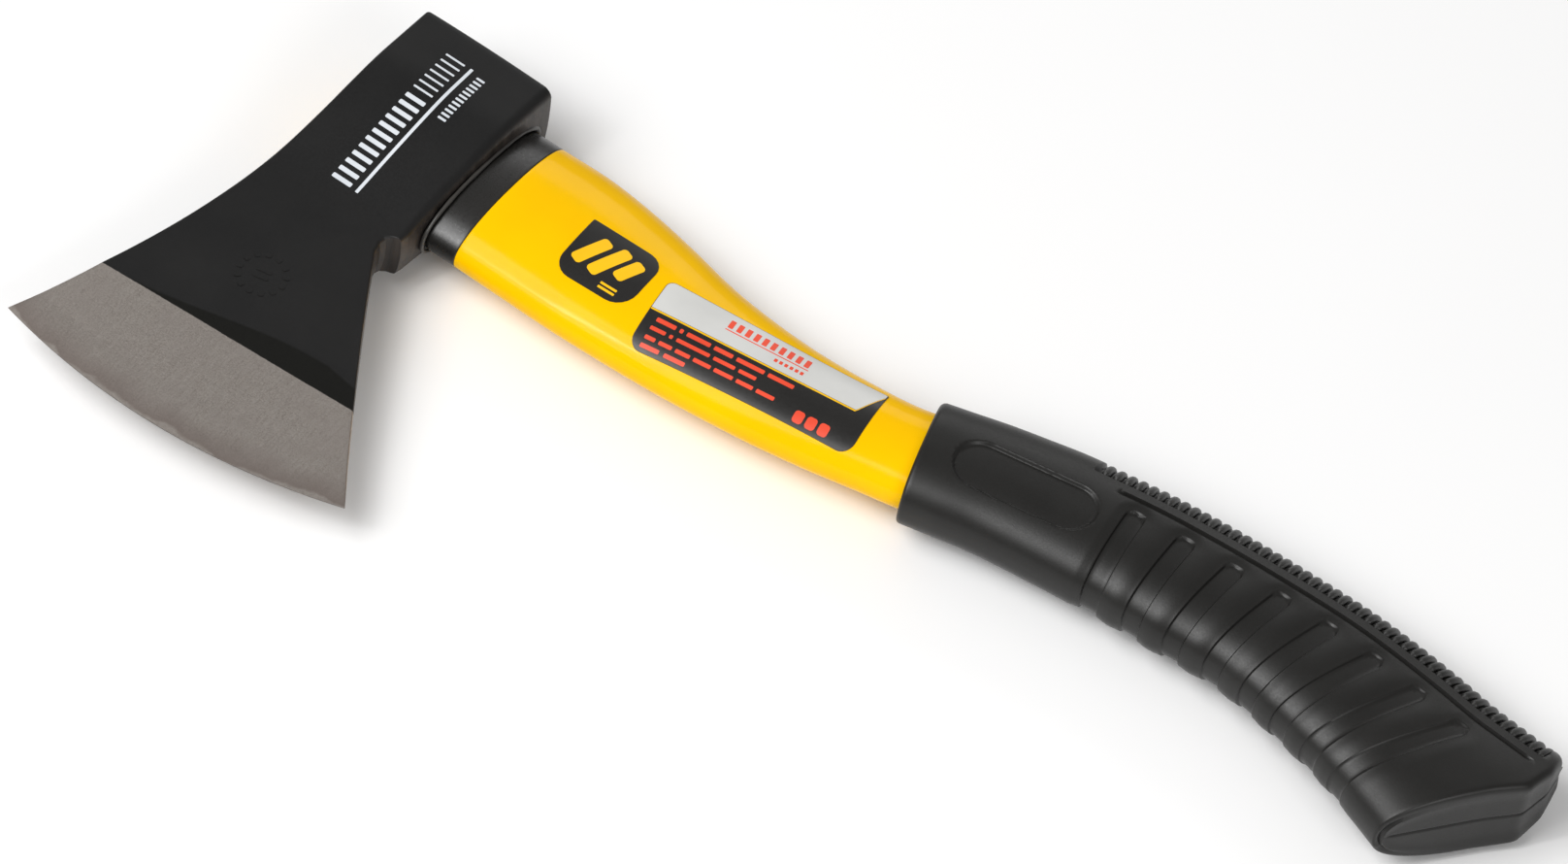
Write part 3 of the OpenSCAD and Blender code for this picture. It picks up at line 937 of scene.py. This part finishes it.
def film(place, edges, lift, thick, surface):
    """A thin solid film that follows a surface between two edges."""
    u, low, high = edges
    columns, rows = len(u), max(3, int(np.max(high - low) / 0.5) + 1)
    v = low[:, None] + (high - low)[:, None] * np.linspace(0, 1, rows)[None]
    x, y = place(np.repeat(u[:, None], rows, 1), v)
    z = surface(x, y)
    top = np.stack([x, y, z + lift + thick], -1).reshape(-1, 3)
    base = np.stack([x, y, z + lift], -1).reshape(-1, 3)
    count = len(top)
    faces = loft_faces(columns, rows, closed=False)
    faces += [[v + count for v in f[::-1]] for f in faces]
    rim = [i * rows for i in range(columns)] + [(columns - 1) * rows + j for j in range(1, rows)]
    rim += [i * rows + rows - 1 for i in range(columns - 2, -1, -1)] + list(range(rows - 2, 0, -1))
    faces += [[a, b, b + count, a + count] for a, b in zip(rim, rim[1:] + rim[:1])]
    return np.vstack([top, base]), faces


def slanted(at, degrees):
    """Maps local (u, v) to (x, y) about a centre, turned by degrees."""
    c, s = math.cos(math.radians(degrees)), math.sin(math.radians(degrees))
    return lambda u, v: (at[0] + c * u - s * v, at[1] + s * u + c * v)


def bar(place, u0, u1, v0, v1, lift, surface, r=0.2):
    """A printed bar with rounded corners."""
    r = min(r, (v1 - v0) / 2 - 0.01, (u1 - u0) / 2 - 0.01)
    return film(place, outline(u0, u1, v0, v1, (r, r, r, r), 0.6), lift - SINK, INK + SINK, surface)


def sticker(name, at, slant, length, height, corners):
    """An adhesive film on the jacket's upper flank."""
    edges = outline(-length / 2, length / 2, -height / 2, height / 2, corners)
    return joined(name, [film(slanted(at, slant), edges, 0.0, FILM, jacket_top)])


def band_films():
    """The label's silver band, which narrows to a tip, and the line under it."""
    place = slanted(LABEL_AT, LABEL_SLANT)
    left, right, high = -LABEL_L / 2 + 0.15, LABEL_L / 2 - 0.3, LABEL_H / 2 - 0.15
    u, low, high = outline(left, right, BAND_LOW, high, BAND_CORNERS)
    tip = BAND_LOW + np.clip(u - BAND_TIP, 0, 10) * BAND_TIP_SLOPE
    low = np.minimum(np.maximum(low, tip), high - 0.05)
    silver = film(place, (u, low, high), FILM - SINK, INK + SINK, jacket_top)
    line = film(place, (u, low - 0.62, low - 0.14), FILM - SINK, INK + SINK, jacket_top)
    return joined("label_silver", [silver]), joined("label_line", [line])


def build_label_bars():
    """Bars in place of all the label's print: greeked lines, a row of bars and three blocks."""
    place = slanted(LABEL_AT, LABEL_SLANT)
    bars = []
    for v, height, u, words, gap in LABEL_LINES:
        for word in words:
            bars.append(bar(place, u, u + word, v - height / 2, v + height / 2, FILM, jacket_top, 0.3))
            u += word + gap
    for u in 14.6 + 3.6 * np.arange(3):
        bars.append(bar(place, u, u + 2.8, -10.2, -6.9, FILM, jacket_top, 0.9))
    for u in -12.6 + 2.45 * np.arange(10):
        bars.append(bar(place, u, u + 1.4, 6.1, 9.0, FILM + INK, jacket_top))
    bars.append(bar(place, -12.8, 11.3, 5.2, 5.5, FILM + INK, jacket_top, 0.1))
    for u in 2.4 + 1.5 * np.arange(6):
        bars.append(bar(place, u, u + 0.9, 3.0, 4.1, FILM + INK, jacket_top, 0.15))
    return joined("label_bars", bars)


def build_badge_marks():
    """Plain slanted stripes and two short bars in a generic pattern."""
    parts = []
    for u, v, reach in BADGE_STRIPES:
        lean = slanted((BADGE_AT[0] + u, BADGE_AT[1] + v), BADGE_SLANT + BADGE_STRIPE_LEAN)
        parts.append(bar(lean, -1.8, 1.8, -reach, reach, FILM, jacket_top, 1.1))
    place = slanted(BADGE_AT, BADGE_SLANT)
    parts += [bar(place, 1.6, 6.6, v, v + 0.7, FILM, jacket_top) for v in (-7.9, -6.6)]
    return joined("badge_stripes", parts)


def build_cheek_marks():
    """Plain bars on the upper cheek in place of all lettering: wide, narrow, an underline, small."""
    place = slanted((0.0, 0.0), 0.0)
    bars = []
    for y in -46.8 + 2.75 * np.arange(12):
        bars.append(bar(place, -7.7, -1.7, y, y + 1.3, MARK, head_top, 0.3))
    for y in -12.9 + 2.3 * np.arange(7):
        bars.append(bar(place, -7.7, -1.7, y, y + 0.6, MARK, head_top))
    bars.append(bar(place, 0.0, 0.9, -47.0, 1.6, MARK, head_top))
    for y in -16.8 + 1.5 * np.arange(12):
        bars.append(bar(place, 3.0, 5.5, y, y + 0.7, MARK, head_top))
    return joined("cheek_bars", bars)


def build_cheek_stamp():
    """A faint ring of plain pads stamped in the cheek, around two short bars."""
    parts = []
    for degrees in np.arange(STAMP_COUNT) * 360 / STAMP_COUNT:
        turn = math.radians(degrees)
        at = STAMP_AT + STAMP_R * np.array([math.cos(turn), math.sin(turn)])
        parts.append(bar(slanted(at, degrees), -0.9, 0.9, -0.75, 0.75, STAMP_UP, head_top, 0.5))
    for v in (-1.6, 0.6):
        parts.append(bar(slanted(STAMP_AT, 12.0), -2.2, 2.2, v, v + 1.0, STAMP_UP, head_top, 0.4))
    return joined("cheek_stamp", parts)


# ---------------------------------------------------------------- assembly
def paint(obj, material):
    """Gives a piece one material."""
    obj.data.materials.clear()
    obj.data.materials.append(material)


def show(obj, material, slot, *nodes):
    """Gives a piece its material and body; it stands for the named CAD nodes, which it hides. slot is not
    used.
    """
    paint(obj, material)
    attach(obj, "root")
    for node in nodes:
        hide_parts(node)


# Each plastic: dark and light colour, roughness, texture scale, texture depth in metres, and for
# some the specular level
lacquer = head_material()
yellow = plastic("yellow_plastic", (0.90, 0.50, 0.0), (0.94, 0.525, 0.0), 0.13, 900.0, 0.000005, 0.09)
rubber = plastic("grip_rubber", (0.006, 0.0056, 0.0048), (0.009, 0.0086, 0.0076), 0.4, 2200.0,
                 0.000016, 0.42)
gloss_black = plastic("collar_black", (0.009, 0.0086, 0.0076), (0.013, 0.012, 0.011), 0.3, 1500.0,
                      0.000005, 0.55)
resin_black = plastic("resin_black", (0.03, 0.028, 0.025), (0.06, 0.055, 0.05), 0.35, 500.0, 0.00004)
film_black = plastic("film_black", (0.0105, 0.0098, 0.009), (0.014, 0.0128, 0.0118), 0.32, 1500.0, 0.000006)
film_silver = plastic("film_silver", (0.58, 0.58, 0.56), (0.63, 0.63, 0.61), 0.36, 1500.0, 0.000006)
ink_yellow = plastic("ink_yellow", (0.9, 0.5, 0.0), (0.95, 0.54, 0.0), 0.35, 1500.0, 0.000006)
ink_red = plastic("ink_red", (0.75, 0.06, 0.02), (0.85, 0.075, 0.03), 0.4, 1500.0, 0.000006)
ink_white = plastic("ink_white", (0.6, 0.64, 0.68), (0.7, 0.73, 0.77), 0.45, 1500.0, 0.000006)
fibre = plastic("glass_fibre", (0.6, 0.52, 0.3), (0.7, 0.62, 0.4), 0.4, 900.0, 0.00003)

show(build_head(), lacquer, "head_lacquer", "axe_head")
show(build_cheek_stamp(), lacquer, "head_lacquer")
show(build_cheek_marks(), ink_white, "head_lacquer")
show(build_resin(), resin_black, "resin", "eye_resin")
show(build_lip(), resin_black, "resin")
show(build_collar(), gloss_black, "collar_plastic", "neck_collar")
show(build_jacket(), yellow, "handle_plastic", "handle_jacket")
show(build_grip(), rubber, "grip_rubber", "grip_sleeve")
show(build_ribs(), rubber, "grip_rubber")
label = sticker("label_film", LABEL_AT, LABEL_SLANT, LABEL_L, LABEL_H, LABEL_CORNERS)
show(label, film_black, "label_film", "product_label")
silver, line = band_films()
show(silver, film_silver, "label_film")
show(line, ink_yellow, "label_film")
show(build_label_bars(), ink_red, "label_film")
badge = sticker("badge_film", BADGE_AT, BADGE_SLANT, BADGE_L, BADGE_H, BADGE_CORNERS)
show(badge, film_black, "badge_film", "badge_sticker")
show(build_badge_marks(), ink_yellow, "badge_film")
paint(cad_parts["core_rod"], fibre)


# ---------------------------------------------------------------- stage
def build_floor():
    """A pale, nearly even floor."""
    n = Nodes("pale_floor")
    tone = n.ramp(n.noise(3.0, 3.0), 0.3, 0.7)
    n.set(base=n.mix(tone, (0.92, 0.92, 0.92), (0.94, 0.94, 0.94)), rough=0.9, specular=0.1)
    corners = [(x * FLOOR_HALF, y * FLOOR_HALF, 0) for x, y in ((-1, -1), (1, -1), (1, 1), (-1, 1))]
    floor = make("floor", corners, [[0, 1, 2, 3]])
    floor.data.materials.append(n.mat)


def softbox(name, place, size, power):
    """A rectangular area light aimed at the handle."""
    light = bpy.data.lights.new(name, "AREA")
    light.shape = "RECTANGLE"
    light.size, light.size_y = size
    light.energy = power
    obj = bpy.data.objects.new(name, light)
    obj.location = place
    obj.rotation_euler = (Vector(LIGHT_AIM) - obj.location).to_track_quat("-Z", "Y").to_euler()
    bpy.context.scene.collection.objects.link(obj)


def build_camera():
    """A long lens to the butt side of the -Y direction, looking down, and rolled."""
    azimuth, elevation, roll = (math.radians(a) for a in (CAMERA_AZIMUTH, CAMERA_ELEVATION, CAMERA_ROLL))
    level = math.cos(elevation)
    back = Vector((math.sin(azimuth) * level, -math.cos(azimuth) * level, math.sin(elevation)))
    right = Vector((math.cos(azimuth), math.sin(azimuth), 0))
    turned = right * math.cos(roll) + back.cross(right) * math.sin(roll)
    data = bpy.data.cameras.new("camera")
    data.lens, data.sensor_width = CAMERA_LENS, SENSOR
    data.clip_end = 50.0
    camera = bpy.data.objects.new("camera", data)
    basis = Matrix((turned, back.cross(turned), back)).transposed()
    camera.matrix_world = Matrix.Translation(Vector(CAMERA_AIM) + back * CAMERA_DISTANCE) @ basis.to_4x4()
    bpy.context.scene.collection.objects.link(camera)
    bpy.context.scene.camera = camera


def build_world():
    """Soft white light from all around."""
    world = bpy.data.worlds.new("studio")
    world.use_nodes = True
    background = world.node_tree.nodes["Background"]
    background.inputs[0].default_value = WORLD_COLOUR
    background.inputs[1].default_value = WORLD_STRENGTH
    bpy.context.scene.world = world


build_floor()
for name, place, size, power in LIGHTS:
    softbox(name, place, size, power)
build_world()
build_camera()
bpy.context.scene.view_settings.view_transform = "Standard"
